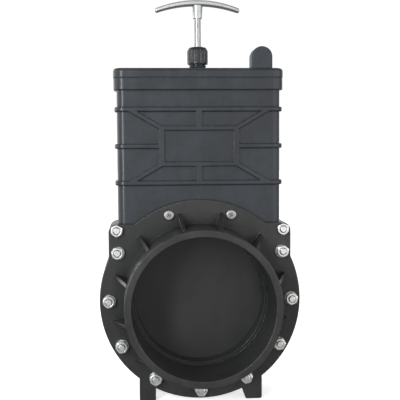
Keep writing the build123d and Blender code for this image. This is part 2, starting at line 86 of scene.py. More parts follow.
class Wire:
    """A node's output on which arithmetic is written as it is on a number."""

    def __init__(self, graph: Graph, socket: bpy.types.NodeSocket) -> None:
        """Keep the socket and the graph that it belongs to."""
        self.graph = graph
        self.socket = socket

    def maths(self, operation: str, *terms: Term) -> Wire:
        """Run one Math node.

        Args:
            operation: the Math node's operation.
            terms: its operands, in order.

        Returns:
            The node's result.
        """
        return self.graph.node("ShaderNodeMath", {"operation": operation}, dict(enumerate(terms)))

    def __add__(self, other: Term) -> Wire:
        """Add a wire or a number."""
        return self.maths("ADD", self, other)

    def __radd__(self, other: float) -> Wire:
        """Add to a number."""
        return self.maths("ADD", other, self)

    def __sub__(self, other: Term) -> Wire:
        """Take away a wire or a number."""
        return self.maths("SUBTRACT", self, other)

    def __rsub__(self, other: float) -> Wire:
        """Take away from a number."""
        return self.maths("SUBTRACT", other, self)

    def __mul__(self, other: Term) -> Wire:
        """Multiply by a wire or a number."""
        return self.maths("MULTIPLY", self, other)

    def __rmul__(self, other: float) -> Wire:
        """Multiply a number."""
        return self.maths("MULTIPLY", other, self)

    def step(self, low: float, high: float) -> Wire:
        """Turn a value into a mask with a soft edge.

        Args:
            low: the value below which the mask is 0.
            high: the value above which the mask is 1.

        Returns:
            The mask.
        """
        settings = {"interpolation_type": "SMOOTHSTEP"}
        sockets = {"Value": self, "From Min": low, "From Max": high}
        return self.graph.node("ShaderNodeMapRange", settings, sockets)


Term = Union[Wire, float]
Value = Union[Wire, float, Sequence[float]]


@dataclass(frozen=True)
class Pattern:
    """Clouds of one size in metres, with finer layers, which may be drawn out along an axis.

    The stretch is a factor on each axis, small along the axis that marks run along. The turn comes
    after it, in degrees about each axis, and turns the clouds but not the way that marks run.
    """

    size: float
    detail: float = 3.0
    rough: float = 0.6
    stretch: Point | None = None
    turn: Point = (0.0, 0.0, 0.0)


class Graph:
    """The node tree of one finish or of the sky."""

    # Rays that the edge and corner nodes send out at each point
    RAYS = 6
    # One less the cosine of the normal's lean, where an edge begins and where it is full
    EDGE_LEAN: Span = (0.004, 0.16)

    def __init__(self, owner: bpy.types.Material | bpy.types.World, reads: str = "Object") -> None:
        """Empty the tree of a material or a world.

        Args:
            owner: the material or world that the tree belongs to.
            reads: the texture coordinate that patterns read.
        """
        self.owner = owner
        owner.use_nodes = True
        self.tree = owner.node_tree
        self.tree.nodes.clear()
        self.spot = self.node("ShaderNodeTexCoord", {}, {}, reads)

    def node(
        self,
        kind: str,
        settings: Mapping[str, Any],
        sockets: Mapping[Union[str, int], Value],
        output: Union[str, int] = 0,
    ) -> Wire:
        """Add a node.

        Args:
            kind: the node's type.
            settings: its own properties, which are set first.
            sockets: a value or a wire for each input that is named or numbered.
            output: the output that the wire comes from.

        Returns:
            The wire from that output.
        """
        made = self.tree.nodes.new(kind)
        for setting, value in settings.items():
            setattr(made, setting, value)
        for key, value in sockets.items():
            if isinstance(value, Wire):
                self.tree.links.new(value.socket, made.inputs[key])
            else:
                made.inputs[key].default_value = value
        return Wire(self, made.outputs[output])

    def mix(self, factor: Term, first: Value, second: Value) -> Wire:
        """Mix two colours.

        Args:
            factor: 0 for the first colour, 1 for the second.
            first: a colour or a wire that carries one.
            second: a colour or a wire that carries one.

        Returns:
            The mixed colour.
        """
        ends = [value if isinstance(value, Wire) else (*value, 1.0) for value in (first, second)]
        settings = {"data_type": "RGBA", "clamp_factor": True}
        # The node has sockets for each type of data: 6, 7 and 2 are those of colours
        return self.node("ShaderNodeMix", settings, {0: factor, 6: ends[0], 7: ends[1]}, 2)

    def facing(self, first: Value, second: Value) -> Wire:
        """Give the cosine of the angle between two directions."""
        settings = {"operation": "DOT_PRODUCT"}
        return self.node("ShaderNodeVectorMath", settings, {0: first, 1: second}, 1)

    def clouds(self, pattern: Pattern) -> Wire:
        """Add clouds about their mean.

        Args:
            pattern: their size, finer layers and stretch.

        Returns:
            The value of the clouds.
        """
        where = self.spot
        if pattern.stretch is not None:
            turn = [radians(angle) for angle in pattern.turn]
            drawn = {"Vector": self.spot, "Rotation": turn, "Scale": pattern.stretch}
            where = self.node("ShaderNodeMapping", {"vector_type": "POINT"}, drawn)
        sockets = {
            "Vector": where,
            "Scale": 1.0 / pattern.size,
            "Detail": pattern.detail,
            "Roughness": pattern.rough,
        }
        return self.node("ShaderNodeTexNoise", {}, sockets)

    def edges(self, reach: float) -> tuple[Wire, Wire]:
        """Find the edges of the shape.

        Args:
            reach: how far from an edge it is still felt.

        Returns:
            The softened normal, and a mask that is 1 on the edges.
        """
        soft = self.node("ShaderNodeBevel", {"samples": self.RAYS}, {"Radius": reach})
        flat = self.node("ShaderNodeNewGeometry", {}, {}, "Normal")
        return soft, (1.0 - self.facing(soft, flat)).step(*self.EDGE_LEAN)

    def shut_in(self, reach: float, span: Span) -> Wire:
        """Find the corners and creases that little light reaches.

        Args:
            reach: how far away another surface still shuts a place in.
            span: the open shares at which a place counts as wholly shut in, and as clear.

        Returns:
            A mask that is 1 where a place is shut in.
        """
        settings = {"samples": self.RAYS, "only_local": True}
        about = self.node("ShaderNodeAmbientOcclusion", settings, {"Distance": reach}, 1)
        return 1.0 - about.step(*span)

    def bump(self, height: Wire, distance: float, strength: float, normal: Wire | None) -> Wire:
        """Raise the surface by a height.

        Args:
            height: the height, from 0 to 1.
            distance: what a height of 1 stands for, in metres.
            strength: how much of it shows.
            normal: the normal that it is added to, or none for the plain one.

        Returns:
            The new normal.
        """
        sockets: dict[Union[str, int], Value] = {
            "Height": height,
            "Distance": distance,
            "Strength": strength,
        }
        if normal is not None:
            sockets["Normal"] = normal
        return self.node("ShaderNodeBump", {}, sockets)

    def finish(self, **sockets: Value) -> bpy.types.Material:
        """Close the tree of a material with one shader.

        Args:
            sockets: the shader's inputs, with _ for each space in their names.

        Returns:
            The material.
        """
        named = {name.replace("_", " "): value for name, value in sockets.items()}
        self.close(self.node("ShaderNodeBsdfPrincipled", {}, named), "ShaderNodeOutputMaterial")
        return self.owner

    def close(self, shader: Wire, end: str) -> None:
        """Lead a shader to the tree's output node."""
        self.tree.links.new(shader.socket, self.tree.nodes.new(end).inputs["Surface"])


# Finishes
#
# In the sizes of a finish, a span is where a mask starts and where it is full. A tone or a
# stain is a pattern's share in the colour, a haze is its share in the roughness, and its relief
# is its share in the bump. A shade is a factor on a colour.


def shade(colour: Colour, factor: float, lift: float = 0.0) -> Colour:
    """Make a colour darker or paler.

    Args:
        colour: the colour.
        factor: what each channel is multiplied by.
        lift: what each channel then gains.

    Returns:
        The new colour, no paler than white.
    """
    return tuple(min(1.0, channel * factor + lift) for channel in colour)


@dataclass(frozen=True)
class MouldedPlastic:
    """Moulded PVC: mottled, faintly grained, scuffed, with painted shade in its corners, and edges
    paler partly from rubbing and partly as a painted highlight.
    """

    name: str
    colour: Colour
    pale: Colour
    roughness: float = 0.44
    specular: float = 0.25
    skin: float = 0.26
    skin_roughness: float = 0.2
    edge: float = 1.9 * MM
    # How far the painted shade in corners reaches
    corner: float = 11.0 * MM
    cloud: Pattern = Pattern(55.0 * MM)
    mottle: Pattern = Pattern(9.0 * MM, 4.0, 0.65)
    flow: Pattern = Pattern(26.0 * MM, 2.0, 0.5, (1.0, 1.0, 0.22), (0.0, 12.0, 0.0))
    scratch: Pattern = Pattern(2.2 * MM, 1.0, 0.4, (1.0, 1.0, 0.035), (8.0, 34.0, 0.0))
    nick: Pattern = Pattern(2.6 * MM, 1.0, 0.4, (0.04, 1.0, 1.0), (0.0, -21.0, 5.0))
    patch: Pattern = Pattern(38.0 * MM, 2.0, 0.5)
    rub: Pattern = Pattern(7.0 * MM)
    grain: Pattern = Pattern(0.9 * MM, 2.0, 0.55)
    tone_span: Span = (0.42, 0.74)
    scratch_span: Span = (0.69, 0.74)
    nick_span: Span = (0.7, 0.75)
    patch_span: Span = (0.5, 0.66)
    rub_span: Span = (0.36, 0.62)
    painted_corner_span: Span = (0.25, 0.95)
    cloud_tone: float = 0.5
    mottle_tone: float = 0.3
    flow_tone: float = 0.35
    most_pale: float = 0.9
    painted_corner_shade: float = 0.4
    wear_and_highlight_shade: Place = (2.1, 0.012)
    edge_wear_and_highlight: float = 0.6
    rubbed_scuff: float = 0.22
    mottle_haze: float = 0.16
    cloud_haze: float = 0.14
    scuff_haze: float = 0.12
    edge_polish: float = 0.3
    grain_relief: float = 0.7
    mottle_relief: float = 0.5
    scuff_relief: float = 0.4
    relief: float = 0.05 * MM
    relief_strength: float = 0.55

    def material(self) -> bpy.types.Material:
        """Build the material.

        Returns:
            The material.
        """
        g = Graph(bpy.data.materials.new(self.name))
        soft, edge = g.edges(self.edge)
        cloud, mottle, flow = (g.clouds(each) for each in (self.cloud, self.mottle, self.flow))
        scratch = g.clouds(self.scratch).step(*self.scratch_span)
        nick = g.clouds(self.nick).step(*self.nick_span)
        scuff = (scratch + nick) * g.clouds(self.patch).step(*self.patch_span)
        tone = cloud * self.cloud_tone + mottle * self.mottle_tone + flow * self.flow_tone
        base = g.mix(tone.step(*self.tone_span) * self.most_pale, self.colour, self.pale)
        # Painted shade: corners and creases that little light reaches are darkened in the colour
        corner = g.shut_in(self.corner, self.painted_corner_span)
        base = g.mix(corner, base, shade(self.colour, self.painted_corner_shade))
        # Paler edges: partly rubbed wear, partly a painted highlight along the rims of ribs and
        # corners
        worn_and_highlit_edges = edge * g.clouds(self.rub).step(*self.rub_span)
        rubbed = worn_and_highlit_edges * self.edge_wear_and_highlight + scuff * self.rubbed_scuff
        base = g.mix(rubbed, base, shade(self.pale, *self.wear_and_highlight_shade))
        rough = (mottle - MEAN) * self.mottle_haze + (cloud - MEAN) * self.cloud_haze
        rough = rough + self.roughness + scuff * self.scuff_haze - edge * self.edge_polish
        relief = g.clouds(self.grain) * self.grain_relief + mottle * self.mottle_relief
        relief = relief - scuff * self.scuff_relief
        return g.finish(
            Base_Color=base,
            Roughness=rough,
            Normal=g.bump(relief, self.relief, self.relief_strength, soft),
            Specular_IOR_Level=self.specular,
            Coat_Weight=self.skin,
            Coat_Roughness=self.skin_roughness,
        )


@dataclass(frozen=True)
class Rubber:
    """Black seal rubber with a dull bloom."""

    name: str
    colour: Colour = (0.012, 0.012, 0.012)
    roughness: float = 0.62
    bloom: Pattern = Pattern(6.0 * MM, 4.0, 0.6)
    bloom_span: Span = (0.42, 0.72)
    bloom_shade: float = 2.2
    bloom_haze: float = 0.2
    pores: Pattern = Pattern(0.6 * MM, 2.0, 0.6)
    relief: float = 0.06 * MM
    relief_strength: float = 0.6

    def material(self) -> bpy.types.Material:
        """Build the material.

        Returns:
            The material.
        """
        g = Graph(bpy.data.materials.new(self.name))
        bloom = g.clouds(self.bloom)
        dusty = shade(self.colour, self.bloom_shade)
        return g.finish(
            Base_Color=g.mix(bloom.step(*self.bloom_span), self.colour, dusty),
            Roughness=bloom * self.bloom_haze + self.roughness,
            Normal=g.bump(g.clouds(self.pores), self.relief, self.relief_strength, None),
        )


class Lay(Enum):
    """The way that the tool marks of a metal run, as the stretch of their pattern."""

    ALONG_X = (0.04, 1.0, 1.0)
    ALONG_Z = (1.0, 1.0, 0.04)
    ROUND = (1.0, 1.0, 1.0)


@dataclass(frozen=True)
class Metal:
    """Bare metal with tool marks, a light haze and small dings, a painted highlight on its edges
    and painted shade in its creases.
    """

    name: str
    colour: Colour
    roughness: float
    lay: Lay
    mark: float = 0.5 * MM
    edge: float = 0.5 * MM
    # How far the painted shade in creases reaches
    crease: float = 1.8 * MM
    cloud: Pattern = Pattern(11.0 * MM)
    spot: Pattern = Pattern(2.4 * MM, 2.0, 0.5)
    cloud_span: Span = (0.3, 0.7)
    spot_span: Span = (0.62, 0.78)
    painted_crease_span: Span = (0.3, 0.9)
    cloud_stain: float = 0.35
    spot_stain: float = 0.2
    mark_stain: float = 0.15
    stain_shade: float = 0.62
    painted_crease_shade: float = 0.2
    painted_highlight_gain: float = 1.25
    painted_edge_highlight: float = 0.3
    mark_haze: float = 0.2
    cloud_haze: float = 0.12
    spot_haze: float = 0.1
    mark_relief: float = 0.85
    spot_relief: float = 0.15
    relief: float = 0.012 * MM
    relief_strength: float = 0.8

    def material(self) -> bpy.types.Material:
        """Build the material.

        Returns:
            The material.
        """
        g = Graph(bpy.data.materials.new(self.name))
        soft, edge = g.edges(self.edge)
        marks = g.clouds(Pattern(self.mark, stretch=self.lay.value))
        cloud = g.clouds(self.cloud)
        spots = g.clouds(self.spot).step(*self.spot_span)
        stain = cloud.step(*self.cloud_span) * self.cloud_stain
        stain = stain + spots * self.spot_stain + marks * self.mark_stain
        base = g.mix(stain, self.colour, shade(self.colour, self.stain_shade))
        # Painted highlight: the edges are made paler in the colour
        base = g.mix(edge * self.painted_edge_highlight, base, shade(self.colour, self.painted_highlight_gain))
        # Painted shade: creases, such as the gap round a bolt's end, are darkened in the colour
        crease = g.shut_in(self.crease, self.painted_crease_span)
        base = g.mix(crease, base, shade(self.colour, self.painted_crease_shade))
        rough = (marks - MEAN) * self.mark_haze + (cloud - MEAN) * self.cloud_haze
        rough = rough + spots * self.spot_haze + self.roughness
        relief = marks * self.mark_relief + spots * self.spot_relief
        normal = g.bump(relief, self.relief, self.relief_strength, soft)
        return g.finish(Base_Color=base, Metallic=1.0, Roughness=rough, Normal=normal)


# Mesh helpers


def turned(profile: Sequence[Place], steps: int, closed: bool) -> bmesh.types.BMesh:
    """Spin a profile about the Y axis.

    Args:
        profile: (radius, y) corners, in order.
        steps: how many flats the turn has.
        closed: whether the profile comes back to its first corner.

    Returns:
        The turned shape.
    """
    shape = bmesh.new()
    corners = [shape.verts.new((radius, y, 0.0)) for radius, y in profile]
    pairs = zip(corners, corners[1:] + corners[:1] if closed else corners[1:])
    edges = [shape.edges.new(pair) for pair in pairs]
    bmesh.ops.spin(
        shape,
        geom=corners + edges,
        cent=(0, 0, 0),
        axis=(0, 1, 0),
        angle=2 * pi,
        steps=steps,
        use_merge=True,
    )
    tidied(shape)
    return shape


def tidied(shape: bmesh.types.BMesh) -> None:
    """Merge what lies together and turn every face outwards.

    Args:
        shape: the shape.
    """
    bmesh.ops.remove_doubles(shape, verts=shape.verts, dist=MERGE)
    bmesh.ops.dissolve_degenerate(shape, edges=shape.edges, dist=MERGE)
    bmesh.ops.recalc_face_normals(shape, faces=shape.faces)


def cut_off(shape: bmesh.types.BMesh, point: Vector, facing: Vector) -> None:
    """Cut away what lies beyond a plane and close the cut.

    Args:
        shape: the shape.
        point: a point of the plane.
        facing: the direction that the cut faces.
    """
    cut = bmesh.ops.bisect_plane(
        shape,
        geom=shape.verts[:] + shape.edges[:] + shape.faces[:],
        dist=ON_CUT,
        plane_co=point,
        plane_no=facing,
        clear_outer=True,
    )
    rim = [item for item in cut["geom_cut"] if isinstance(item, bmesh.types.BMEdge)]
    bmesh.ops.contextual_create(shape, geom=rim)


def flatted(shape: bmesh.types.BMesh, across: float) -> None:
    """Cut a turned shape down to six flats round the Y axis.

    Args:
        shape: the turned shape.
        across: the distance across two flats.
    """
    for number in range(FLAT_COUNT):
        angle = 2 * pi * number / FLAT_COUNT
        facing = Vector((cos(angle), 0.0, sin(angle)))
        cut_off(shape, facing * across / 2, facing)
    tidied(shape)


def placed(shape: bmesh.types.BMesh, x: float, y: float, z: float, turn: float = 0.0) -> None:
    """Turn a shape about Y and move it to its place.

    Args:
        shape: the shape, made about the Y axis.
        x: the place across.
        y: the place in depth.
        z: the height.
        turn: the turn about Y, in degrees.
    """
    matrix = Matrix.Translation((x, y, z)) @ Matrix.Rotation(radians(turn), 4, "Y")
    bmesh.ops.transform(shape, matrix=matrix, verts=shape.verts)


def reversed_y(shape: bmesh.types.BMesh) -> None:
    """Turn a shape half way round Z, so that its front faces the back."""
    bmesh.ops.transform(shape, matrix=Matrix.Rotation(pi, 4, "Z"), verts=shape.verts)


def joined(first: bmesh.types.BMesh, second: bmesh.types.BMesh) -> None:
    """Put the second shape into the first.

    Args:
        first: the shape that takes it.
        second: the shape that is put in, which is used up.
    """
    spare = bpy.data.meshes.new("spare")
    second.to_mesh(spare)
    second.free()
    first.from_mesh(spare)
    bpy.data.meshes.remove(spare)


def piece(
    name: str, shape: bmesh.types.BMesh, material: bpy.types.Material, body: str
) -> None:
    """Turn a shape into a piece of the valve.

    Args:
        name: the piece's name.
        shape: its shape, which is used up.
        material: its finish.
        body: the body that it rides on.
    """
    mesh = bpy.data.meshes.new(name)
    shape.to_mesh(mesh)
    shape.free()
    mesh.polygons.foreach_set("use_smooth", [True] * len(mesh.polygons))
    mesh.set_sharp_from_angle(angle=radians(SHARP_FOLD))
    made = bpy.data.objects.new(name, mesh)
    bpy.context.scene.collection.objects.link(made)
    made.data.materials.append(material)
    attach(made, body)
    LOG.info("%s: %d faces, rides on %s", name, len(mesh.polygons), body)


# Fasteners


@dataclass(frozen=True)
class Thread:
    """A coarse screw thread about the Y axis."""

    radius: float
    pitch: float
    depth: float
    steps: int = 32
    # Where the root ends and the crest starts and ends, as shares of the pitch
    root_end: float = 0.12
    crest_start: float = 0.5
    crest_end: float = 0.62
    spare_turns: int = 3
    seam: float = 0.01 * MM

    def rod(self, start: float, end: float, chamfer: float) -> bmesh.types.BMesh:
        """Make a threaded rod with flat ends and a chamfer at its tip.

        Args:
            start: the y of its hidden end.
            end: the y of its tip, which faces -Y.
            chamfer: how far the tip is chamfered.

        Returns:
            The rod.
        """
        root = self.radius - self.depth
        shape = bmesh.new()
        turns = int((start - end) / self.pitch) + self.spare_turns
        outline = (
            (0.0, root),
            (self.root_end, root),
            (self.crest_start, self.radius),
            (self.crest_end, self.radius),
        )
        points = [
            (radius, start + (1.0 - turn - part) * self.pitch)
            for turn in range(turns)
            for part, radius in outline
        ]
        corners = [shape.verts.new((radius, y, 0.0)) for radius, y in points]
        edges = [shape.edges.new(pair) for pair in zip(corners, corners[1:])]
        bmesh.ops.spin(
            shape,
            geom=corners + edges,
            cent=(0, 0, 0),
            axis=(0, 1, 0),
            dvec=(0, -self.pitch / self.steps, 0),
            angle=2 * pi,
            steps=self.steps,
        )
        bmesh.ops.remove_doubles(shape, verts=shape.verts, dist=self.seam)
        for y, side in ((start, 1.0), (end, -1.0)):
            cut_off(shape, Vector((0.0, y, 0.0)), Vector((0.0, side, 0.0)))
        for corner in shape.verts:
            # The chamfer slopes at 45 degrees
            limit = self.radius - chamfer + max(0.0, corner.co.y - end)
            reach = Vector((corner.co.x, corner.co.z)).length
            if reach > limit:
                corner.co.x *= limit / reach
                corner.co.z *= limit / reach
        tidied(shape)
        return shape

    def sleeve(self, start: float, end: float, chamfer: float, bore: float) -> bmesh.types.BMesh:
        """Make a threaded sleeve that fits round another shape.

        Args:
            start: the y of its hidden end.
            end: the y of its tip, which faces -Y.
            chamfer: how far the tip is chamfered.
            bore: the radius of the way through it.

        Returns:
            The sleeve.
        """
        shape = self.rod(start, end, chamfer)
        # Only the flat ends have so many corners
        flat = [face for face in shape.faces if len(face.verts) > self.steps / 2]
        bmesh.ops.delete(shape, geom=flat, context="FACES_ONLY")
        joined(shape, turned([(bore, start), (bore, end)], self.steps, closed=False))
        for y in (start, end):
            rims = [
                edge
                for edge in shape.edges
                if edge.is_boundary and all(abs(v.co.y - y) < AT_DEPTH for v in edge.verts)
            ]
            bmesh.ops.triangle_fill(shape, use_beauty=True, edges=rims, normal=(0, 1, 0))
        tidied(shape)
        return shape


@dataclass(frozen=True)
class HexFastening:
    """A bolt of one size, with its nut."""

    radius: float = 5.0 * MM
    flats: float = 16.0 * MM
    nut_height: float = 8.4 * MM
    nut_inset: float = 0.35 * MM
    nut_sink: float = 0.75 * MM
    nut_lead: float = 1.2 * MM
    nut_bite: float = 0.7 * MM
    head_height: float = 6.4 * MM
    head_inset: float = 0.5 * MM
    face_inset: float = 0.6 * MM
    face_rise: float = 0.5 * MM
    chamfer_angle: float = 28.0
    steps: int = 72
    thread: Thread = Thread(4.95 * MM, 1.5 * MM, 0.9 * MM)
    threaded: float = 7.0 * MM
    tip_chamfer: float = 0.9 * MM
    overlap: float = 0.5 * MM
    shank_steps: int = 32

    @property
    def corners(self) -> float:
        """Give the radius to the corners of the hexagon."""
        return self.flats / sqrt(3)

    def slope(self, inset: float) -> float:
        """Give how deep the corner chamfer is that starts this far inside the flats."""
        return (self.corners - self.flats / 2 + inset) * tan(radians(self.chamfer_angle))

    def nut(self) -> bmesh.types.BMesh:
        """Make a nut with chamfered corners, its bearing face at y 0 and its front at -Y.

        Returns:
            The nut.
        """
        face, low = self.flats / 2 - self.nut_inset, self.slope(self.nut_inset)
        sink, bore = self.radius + self.nut_sink, self.radius - self.nut_bite
        height = self.nut_height
        profile = [
            (bore, -self.nut_lead),
            (sink, 0.0),
            (face, 0.0),
            (self.corners, -low),
            (self.corners, -height + low),
            (face, -height),
            (sink, -height),
            (bore, -height + self.nut_lead),
        ]
        shape = turned(profile, self.steps, closed=True)
        flatted(shape, self.flats)
        return shape

    def head(self) -> bmesh.types.BMesh:
        """Make a bolt's head, its bearing face at y 0 and its crown at -Y.

        Returns:
            The head.
        """
        face, low = self.flats / 2 - self.head_inset, self.slope(self.head_inset)
        height = self.head_height
        profile = [
            (0.0, 0.0),
            (self.flats / 2 - self.face_inset, 0.0),
            (self.flats / 2 - self.face_inset, -self.face_rise),
            (self.corners, -self.face_rise),
            (self.corners, -height + low),
            (face, -height),
            (0.0, -height),
        ]
        shape = turned(profile, self.steps, closed=False)
        flatted(shape, self.flats)
        return shape


@dataclass(frozen=True)
class WasherForm:
    """A plain washer with softly turned rims."""

    outer: float = 9.7 * MM
    inner: float = 5.25 * MM
    thick: float = 1.9 * MM
    rim: float = 0.3 * MM
    steps: int = 56

    def shape(self) -> bmesh.types.BMesh:
        """Make the washer, its back at y 0 and its front at -Y.

        Returns:
            The washer.
        """
        rim, thick = self.rim, self.thick
        profile = [
            (self.inner, 0.0),
            (self.outer - rim / 2, 0.0),
            (self.outer, -rim / 2),
            (self.outer, -thick + rim),
            (self.outer - rim, -thick),
            (self.inner + rim / 2, -thick),
            (self.inner, -thick + rim / 2),
        ]
        return turned(profile, self.steps, closed=True)


@dataclass(frozen=True)
class PanScrew:
    """A pan-head screw with a cross recess."""

    radius: float = 4.0 * MM
    length: float = 20.0 * MM
    tip_chamfer: float = 0.9 * MM
    head: float = 8.0 * MM
    height: float = 4.2 * MM
    rim: float = 0.25 * MM
    rim_height: float = 1.1 * MM
    flat: float = 5.9 * MM
    dome_steps: int = 7
    slot_reach: float = 3.1 * MM
    slot_width: float = 1.3 * MM
    slot_depth: float = 1.7 * MM
    slot_taper: float = 0.72
    steps: int = 48

    def shape(self) -> bmesh.types.BMesh:
        """Make the screw, its bearing face at y 0 and its head at -Y.

        Returns:
            The screw.
        """
        low, span = self.rim_height, self.head - self.flat
        bow = [radians(90.0 * n / self.dome_steps) for n in range(self.dome_steps + 1)]
        dome = [(self.flat + span * cos(a), -low - (self.height - low) * sin(a)) for a in bow]
        profile = [
            (0.0, self.length),
            (self.radius - self.tip_chamfer, self.length),
            (self.radius, self.length - self.tip_chamfer),
            (self.radius, 0.0),
            (self.head - self.rim, 0.0),
            (self.head, -self.rim),
            *dome,
        ]
        shape = turned(profile, self.steps, closed=False)
        rim = [edge for edge in shape.edges if edge.is_boundary]
        cross = self.cross(shape)
        bmesh.ops.triangle_fill(shape, use_beauty=True, use_dissolve=False, edges=rim + cross)
        wall = bmesh.ops.extrude_edge_only(shape, edges=cross)["geom"]
        deep = [item for item in wall if isinstance(item, bmesh.types.BMVert)]
        bmesh.ops.translate(shape, verts=deep, vec=(0, self.slot_depth, 0))
        bmesh.ops.scale(shape, verts=deep, vec=(self.slot_taper, 1.0, self.slot_taper))
        floor = [item for item in wall if isinstance(item, bmesh.types.BMEdge) and item.is_boundary]
        bmesh.ops.contextual_create(shape, geom=floor)
        tidied(shape)
        return shape

    def cross(self, shape: bmesh.types.BMesh) -> list[bmesh.types.BMEdge]:
        """Draw the outline of the cross on the head.

        Args:
            shape: the screw, whose head is still open.

        Returns:
            The edges of the outline.
        """
        reach, half = self.slot_reach, self.slot_width / 2
        arm = [(reach, -half), (reach, half), (half, half)]
        points = []
        for quarter in range(4):
            turn = Matrix.Rotation(quarter * pi / 2, 2)
            points += [turn @ Vector(corner) for corner in arm]
        corners = [shape.verts.new((point.x, -self.height, point.y)) for point in points]
        pairs = zip(corners, corners[1:] + corners[:1])
        return [shape.edges.new(pair) for pair in pairs]


@dataclass(frozen=True)
class BoltPlace:
    """Where a bolt stands on the flanges, and how its nut and washer happen to lie."""

    x: float
    z: float
    nut_turn: float
    shift: Place = (0.0, 0.0)
    washer: bool = True


# Sub-assemblies


Solids = Mapping[str, bpy.types.Object]


def dress(solids: Solids, finish: bpy.types.Material, *names: str) -> None:
    """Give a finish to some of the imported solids.

    Args:
        solids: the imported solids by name.
        finish: the material.
        names: the solids that take it.
    """
    for name in names:
        for holder in solids[name].material_slots:
            holder.material = finish
        LOG.info("%s dressed in %s", name, finish.name)


@dataclass(frozen=True)
class Housing:
    """The ribbed moulding, with the guides of the blade inside it."""

    moulding: MouldedPlastic = MouldedPlastic(
        "housing_moulding", (0.0152, 0.0175, 0.0208), (0.027, 0.0312, 0.0375)
    )
    guide: MouldedPlastic = MouldedPlastic("pale_guide", (0.5, 0.5, 0.48), (0.6, 0.6, 0.58), 0.4)

    def build(self, solids: Solids) -> None:
        """Dress the housing and its guides."""
        dress(solids, self.moulding.material(), "gate_housing")
        dress(solids, self.guide.material(), "left_guide_rail", "right_guide_rail")


